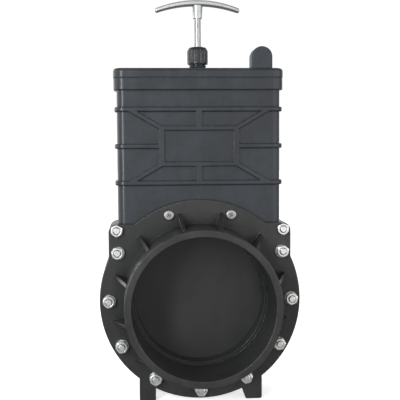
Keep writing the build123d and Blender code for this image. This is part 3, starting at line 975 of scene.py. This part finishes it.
@dataclass(frozen=True)
class Flanges:
    """The two socket flanges, their seals, and every bolt and screw that holds them."""

    centre_z: float = 150.0 * MM
    circle: float = 133.7 * MM
    plate_y: float = 36.5 * MM
    proud: float = 1.6 * MM
    ear: Place = (121.1 * MM, 103.0 * MM)
    side: Place = (120.5 * MM, 70.6 * MM)
    screw_circle: float = 132.4 * MM
    screw_angle: float = 70.0
    screw_turn: float = 24.0
    # How a head stands to its nut: a factor on the nut's turn, and degrees added
    head_turn: Place = (1.7, 11.0)
    form: HexFastening = HexFastening()
    washer: WasherForm = WasherForm()
    screw: PanScrew = PanScrew()
    moulding: MouldedPlastic = MouldedPlastic(
        "flange_moulding",
        (0.0172, 0.0169, 0.0165),
        (0.0315, 0.031, 0.0305),
        # Its painted corner shade reaches far, darkening the plate round the barrel and the inside
        # of the socket
        corner=45.0 * MM,
    )
    seal: Rubber = Rubber("seal_rubber_black")
    steel: Metal = Metal("zinc_steel", (0.78, 0.78, 0.76), 0.3, Lay.ROUND)
    dull: Metal = Metal("dull_washer_steel", (0.42, 0.42, 0.41), 0.42, Lay.ROUND)
    bright: Metal = Metal("screw_steel", (0.36, 0.352, 0.345), 0.36, Lay.ROUND)

    def build(self, solids: Solids) -> None:
        """Dress the flanges and seals, and add the bolts, nuts, washers and screws.

        Args:
            solids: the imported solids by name.
        """
        rubber = self.seal.material()
        dress(solids, self.moulding.material(), "front_flange", "rear_flange")
        dress(solids, rubber, "front_flange_gasket", "rear_flange_gasket")
        dress(solids, rubber, "front_seat_seal", "rear_seat_seal")
        steel, dull, bright = (metal.material() for metal in (self.steel, self.dull, self.bright))
        for number, place in enumerate(self.places(), 1):
            self.fasten(number, place, steel, dull)
        for front in (True, False):
            for side in (-1, 1):
                self.drive(side, front, bright)

    def places(self) -> list[BoltPlace]:
        """List the bolts anticlockwise from the left ear, seen from the front.

        Returns:
            The places of the bolts.
        """
        (ear_x, ear_z), (side_x, side_z) = self.ear, self.side
        # Angle on the circle, turn of the nut, and slip of the washer in millimetres
        ring = [
            (180.0, 12.0, (0.7, -0.2)),
            (210.0, 20.0, (0.6, 0.5)),
            (240.0, 2.0, (0.4, 0.4)),
            (270.0, 30.0, (0.0, 0.3)),
            (300.0, 16.0, (-0.3, 0.4)),
            (330.0, 25.0, (-0.5, -0.3)),
            (0.0, 8.0, (-0.6, 0.3)),
        ]
        return [
            BoltPlace(-ear_x, self.centre_z + ear_z, 4.0, washer=False),
            BoltPlace(-side_x, self.centre_z + side_z, -14.0, (0.9 * MM, -0.5 * MM)),
            *[self.on_circle(*entry) for entry in ring],
            BoltPlace(side_x, self.centre_z + side_z, 9.0, (-0.9 * MM, -0.5 * MM)),
            BoltPlace(ear_x, self.centre_z + ear_z, -4.0, washer=False),
        ]

    def on_circle(self, angle: float, nut_turn: float, shift: Place) -> BoltPlace:
        """Place a bolt on the bolt circle.

        Args:
            angle: its angle, in degrees from +X.
            nut_turn: how its nut is turned, in degrees.
            shift: how far its washer has slipped across and up, in millimetres.

        Returns:
            The place.
        """
        x = self.circle * cos(radians(angle))
        z = self.centre_z + self.circle * sin(radians(angle))
        return BoltPlace(x, z, nut_turn, (shift[0] * MM, shift[1] * MM))

    def fasten(
        self, number: int, place: BoltPlace, steel: bpy.types.Material, dull: bpy.types.Material
    ) -> None:
        """Make one bolt with its nut and washers.

        Args:
            number: its number in the names of the pieces.
            place: where it stands.
            steel: the finish of the bolt and nut.
            dull: the finish of the washers.
        """
        stack = self.washer.thick if place.washer else 0.0
        front, rear = -self.plate_y - stack, self.plate_y + stack
        nut = self.form.nut()
        placed(nut, place.x, front, place.z, place.nut_turn)
        self.add(f"hex_nut_{number}", nut, steel)
        self.add(f"through_bolt_{number}", self.bolt(place, front, rear), steel)
        if not place.washer:
            return
        for label, back in (("front", False), ("rear", True)):
            ring = self.washer.shape()
            if back:
                reversed_y(ring)
            depth = self.plate_y if back else -self.plate_y
            placed(ring, place.x + place.shift[0], depth, place.z + place.shift[1])
            self.add(f"{label}_washer_{number}", ring, dull)

    def bolt(self, place: BoltPlace, front: float, rear: float) -> bmesh.types.BMesh:
        """Make a bolt with a hexagon head at the rear and its thread at the front.

        Args:
            place: where it stands.
            front: the y of the nut's bearing face.
            rear: the y of the head's bearing face.

        Returns:
            The bolt.
        """
        form, (factor, added) = self.form, self.head_turn
        end = front - form.nut_height - self.proud
        start = end + form.threaded
        bolt = form.thread.rod(start, end, form.tip_chamfer)
        inside = start - form.overlap
        plain = [(0.0, inside), (form.radius, inside), (form.radius, rear), (0.0, rear)]
        joined(bolt, turned(plain, form.shank_steps, closed=False))
        head = form.head()
        reversed_y(head)
        placed(head, 0.0, rear, 0.0, place.nut_turn * factor + added)
        joined(bolt, head)
        placed(bolt, place.x, 0.0, place.z)
        return bolt

    def drive(self, side: int, front: bool, bright: bpy.types.Material) -> None:
        """Make one of the two screws of a flange.

        Args:
            side: -1 for the left one, 1 for the right one.
            front: whether it is on the front flange.
            bright: its finish.
        """
        angle = radians(self.screw_angle)
        x = side * self.screw_circle * cos(angle)
        z = self.centre_z + self.screw_circle * sin(angle)
        shape = self.screw.shape()
        if not front:
            reversed_y(shape)
        placed(shape, x, -self.plate_y if front else self.plate_y, z, self.screw_turn * side)
        label = f"{'front' if front else 'rear'}_screw_{'left' if side < 0 else 'right'}"
        self.add(label, shape, bright)

    def add(self, name: str, shape: bmesh.types.BMesh, finish: bpy.types.Material) -> None:
        """Add a fastener as a piece of the housing."""
        piece(name, shape, finish, HOUSING_BODY)


@dataclass(frozen=True)
class Bonnet:
    """The lid of the box, its gasket and its lug."""

    moulding: MouldedPlastic = MouldedPlastic(
        "lid_moulding", (0.0172, 0.0198, 0.0234), (0.029, 0.0334, 0.0396)
    )
    lug_moulding: MouldedPlastic = MouldedPlastic(
        "lug_moulding", (0.0275, 0.0315, 0.0365), (0.0465, 0.053, 0.062), 0.56, skin=0.04
    )
    seal: Rubber = Rubber("lid_gasket_rubber", (0.024, 0.026, 0.028))

    def build(self, solids: Solids) -> None:
        """Dress the lid, its lug and its gasket.

        Args:
            solids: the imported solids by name.
        """
        dress(solids, self.moulding.material(), "lid")
        dress(solids, self.lug_moulding.material(), "lid_lug")
        dress(solids, self.seal.material(), "lid_gasket")


@dataclass(frozen=True)
class Gland:
    """The fluted nut, bush and packing that seal the stem, and the thread of the neck."""

    neck_rise: float = 6.6 * MM
    neck_bore: float = 10.6 * MM
    neck_gap: float = 0.6 * MM
    neck_chamfer: float = 0.4 * MM
    thread: Thread = Thread(12.9 * MM, 2.4 * MM, 1.3 * MM, 40)
    moulding: MouldedPlastic = MouldedPlastic(
        # Its painted corner shade reaches 6 mm
        "gland_moulding", (0.0125, 0.0145, 0.0158), (0.0205, 0.0235, 0.0255), corner=6.0 * MM
    )
    bush: MouldedPlastic = MouldedPlastic("pale_bush", (0.5, 0.5, 0.48), (0.6, 0.6, 0.58), 0.4)
    packing: Rubber = Rubber("packing_rubber")

    def build(self, solids: Solids) -> None:
        """Dress the nut, bush and packing, and cut the thread of the neck.

        Args:
            solids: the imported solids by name.
        """
        finish = self.moulding.material()
        dress(solids, finish, "gland_nut")
        dress(solids, self.bush.material(), "gland_bush")
        dress(solids, self.packing.material(), "gland_packing")
        self.neck(finish)

    def neck(self, finish: bpy.types.Material) -> None:
        """Add the part of the neck's thread that shows under the nut.

        Args:
            finish: its material.
        """
        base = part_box("gland_nut")[0][2]
        end = -(self.neck_rise - self.neck_gap)
        shape = self.thread.sleeve(0.0, end, self.neck_chamfer, self.neck_bore)
        foot = Matrix.Translation((0, 0, base - self.neck_rise))
        upright = foot @ Matrix.Rotation(-pi / 2, 4, "X")
        bmesh.ops.transform(shape, matrix=upright, verts=shape.verts)
        piece("neck_thread", shape, finish, HOUSING_BODY)


@dataclass(frozen=True)
class Gate:
    """The blade, the bracket and rivets that hold it, and the stem that lifts it."""

    sheet: MouldedPlastic = MouldedPlastic(
        "blade_sheet", (0.0172, 0.0171, 0.0163), (0.0245, 0.0243, 0.023), 0.5
    )
    plate: Metal = Metal("plate_stainless", (0.6, 0.6, 0.6), 0.34, Lay.ALONG_X)
    rod: Metal = Metal("drawn_stainless", (0.3, 0.3, 0.3), 0.25, Lay.ALONG_Z, relief=0.003 * MM)

    def build(self, solids: Solids) -> None:
        """Dress the blade, its bracket, the rivets and the stem.

        Args:
            solids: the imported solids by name.
        """
        dress(solids, self.sheet.material(), "gate_blade")
        dress(solids, self.plate.material(), "stem_bracket", "bracket_rivets")
        dress(solids, self.rod.material(), "stem")


@dataclass(frozen=True)
class Handle:
    """The arched T handle."""

    casting: Metal = Metal("cast_aluminium", (0.47, 0.47, 0.475), 0.4, Lay.ROUND, 1.2 * MM)

    def build(self, solids: Solids) -> None:
        """Dress the handle."""
        dress(solids, self.casting.material(), "t_handle")


# Studio


def toward(azimuth: float, height: float) -> Vector:
    """Give a direction.

    Args:
        azimuth: degrees to the left of straight out of the valve's front.
        height: degrees above level.

    Returns:
        The direction, one unit long.
    """
    round_z, level = radians(azimuth), cos(radians(height))
    return Vector((-sin(round_z) * level, -cos(round_z) * level, sin(radians(height))))


@dataclass(frozen=True)
class Softbox:
    """A rectangular soft light that looks at a point of the valve."""

    name: str
    azimuth: float
    height: float
    distance: float
    width: float
    tall: float
    watts: float
    tint: Colour = (1.0, 1.0, 1.0)
    aim: Point = (0.0, 0.0, 0.28)

    def build(self) -> None:
        """Add the light."""
        lamp = bpy.data.lights.new(self.name, "AREA")
        lamp.shape = "RECTANGLE"
        lamp.size = self.width
        lamp.size_y = self.tall
        lamp.energy = self.watts
        lamp.color = self.tint
        made = bpy.data.objects.new(self.name, lamp)
        away = toward(self.azimuth, self.height)
        turn = (-away).to_track_quat("-Z", "Y").to_matrix().to_4x4()
        made.matrix_world = Matrix.Translation(Vector(self.aim) + away * self.distance) @ turn
        bpy.context.scene.collection.objects.link(made)


@dataclass(frozen=True)
class Panel:
    """A soft bright patch of the room, seen in one direction from the valve."""

    azimuth: float
    height: float
    full: float
    faded: float
    gain: float

    def glow(self, g: Graph) -> Wire:
        """Give how much light the patch adds in each direction.

        Args:
            g: the node tree of the room.

        Returns:
            The light that it adds.
        """
        facing = g.facing(g.spot, toward(self.azimuth, self.height))
        return facing.step(cos(radians(self.faded)), cos(radians(self.full))) * self.gain


@dataclass(frozen=True)
class Studio:
    """A pale floor in a white room, soft lights, and the camera."""

    floor_radius: float = 9.0
    floor_segments: int = 96
    floor_colour: Colour = (0.94, 0.94, 0.94)
    floor_clouds: Pattern = Pattern(0.4, 3.0, 0.5)
    floor_shade: float = 0.97
    floor_mottle: float = 0.3
    floor_roughness: float = 0.9
    floor_glow: float = 0.7
    room_light: float = 0.5
    ground_light: float = 0.14
    white: float = 1.05
    # Heights on the unit sphere between which the ground gives way to the room, and the room dims
    horizon: Span = (-0.34, 0.0)
    overhead: Span = (0.15, 0.7)
    overhead_dimming: float = 0.7
    bounce: Panel = Panel(0.0, -90.0, 35.0, 65.0, 0.22)
    panels: tuple[Panel, ...] = (
        Panel(18.0, 4.0, 34.0, 56.0, 0.58),
        Panel(-48.0, -2.0, 22.0, 46.0, 1.9),
        Panel(110.0, 5.0, 26.0, 50.0, 1.7),
        Panel(180.0, 8.0, 40.0, 80.0, 0.6),
    )
    softboxes: tuple[Softbox, ...] = (
        Softbox("key", 29.5, 10.0, 1.9, 0.3, 1.2, 29.0, (0.92, 0.97, 1.0), (0.0, 0.0, 0.36)),
        Softbox("top", 180.0, 80.0, 2.2, 1.6, 1.6, 8.0),
    )
    camera_place: Point = (-0.082229, -1.231791, 0.383444)
    camera_yaw: float = 3.93353
    camera_pitch: float = -4.16
    camera_roll: float = -0.33244
    lens: float = 74.42
    sensor: float = 36.0

    def floor(self) -> None:
        """Lay the floor, which lights nothing and isn't mirrored."""
        shape = bmesh.new()
        bmesh.ops.create_circle(
            shape, cap_ends=True, segments=self.floor_segments, radius=self.floor_radius
        )
        mesh = bpy.data.meshes.new("floor")
        shape.to_mesh(mesh)
        shape.free()
        made = bpy.data.objects.new("floor", mesh)
        bpy.context.scene.collection.objects.link(made)
        g = Graph(bpy.data.materials.new("pale_floor"))
        mottle = g.clouds(self.floor_clouds) * self.floor_mottle
        darker = shade(self.floor_colour, self.floor_shade)
        finish = g.finish(
            Base_Color=g.mix(mottle, self.floor_colour, darker),
            Roughness=self.floor_roughness,
            Emission_Color=(*self.floor_colour, 1.0),
            Emission_Strength=self.floor_glow,
        )
        made.data.materials.append(finish)
        made.visible_diffuse = False
        made.visible_glossy = False

    def room(self) -> None:
        """Light the room: white to the camera, brightest from the front right and the left."""
        world = bpy.data.worlds.new("studio")
        g = Graph(world, "Generated")
        up = g.node("ShaderNodeSeparateXYZ", {}, {"Vector": g.spot}, "Z")
        dimmed = 1.0 - up.step(*self.overhead) * self.overhead_dimming
        above = up.step(*self.horizon) * dimmed
        light: Term = self.room_light - self.ground_light
        for panel in self.panels:
            light = panel.glow(g) + light
        light = above * light + self.bounce.glow(g) + self.ground_light
        seen = g.node("ShaderNodeLightPath", {}, {}, "Is Camera Ray")
        strength = seen * self.white + (1.0 - seen) * light
        glow = {"Color": (1.0, 1.0, 1.0, 1.0), "Strength": strength}
        g.close(g.node("ShaderNodeBackground", {}, glow), "ShaderNodeOutputWorld")
        bpy.context.scene.world = world

    def camera(self) -> None:
        """Set the camera where the photograph was taken from."""
        yaw, pitch = radians(self.camera_yaw), radians(self.camera_pitch)
        roll = radians(self.camera_roll)
        ahead = Vector((sin(yaw) * cos(pitch), cos(yaw) * cos(pitch), sin(pitch)))
        right = Vector((cos(yaw), -sin(yaw), 0.0))
        up = right.cross(ahead)
        across = right * cos(roll) + up * sin(roll)
        above = up * cos(roll) - right * sin(roll)
        lens = bpy.data.cameras.new("camera")
        lens.lens = self.lens
        lens.sensor_width = self.sensor
        made = bpy.data.objects.new("camera", lens)
        turn = Matrix((across, above, -ahead)).transposed().to_4x4()
        made.matrix_world = Matrix.Translation(self.camera_place) @ turn
        bpy.context.scene.collection.objects.link(made)
        bpy.context.scene.camera = made

    def build(self) -> None:
        """Set the whole studio."""
        self.camera()
        self.floor()
        self.room()
        for softbox in self.softboxes:
            softbox.build()
        bpy.context.scene.view_settings.view_transform = "Standard"


def main() -> None:
    """Load the frame, set the studio, and dress each sub-assembly."""
    logging.basicConfig(level=logging.INFO, format="%(name)s: %(message)s")
    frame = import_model()
    Studio().build()
    for part in (Housing(), Flanges(), Bonnet(), Gland(), Gate(), Handle()):
        LOG.info("building %s", type(part).__name__)
        part.build(frame["nodes"])


if __name__ == "__main__":
    main()
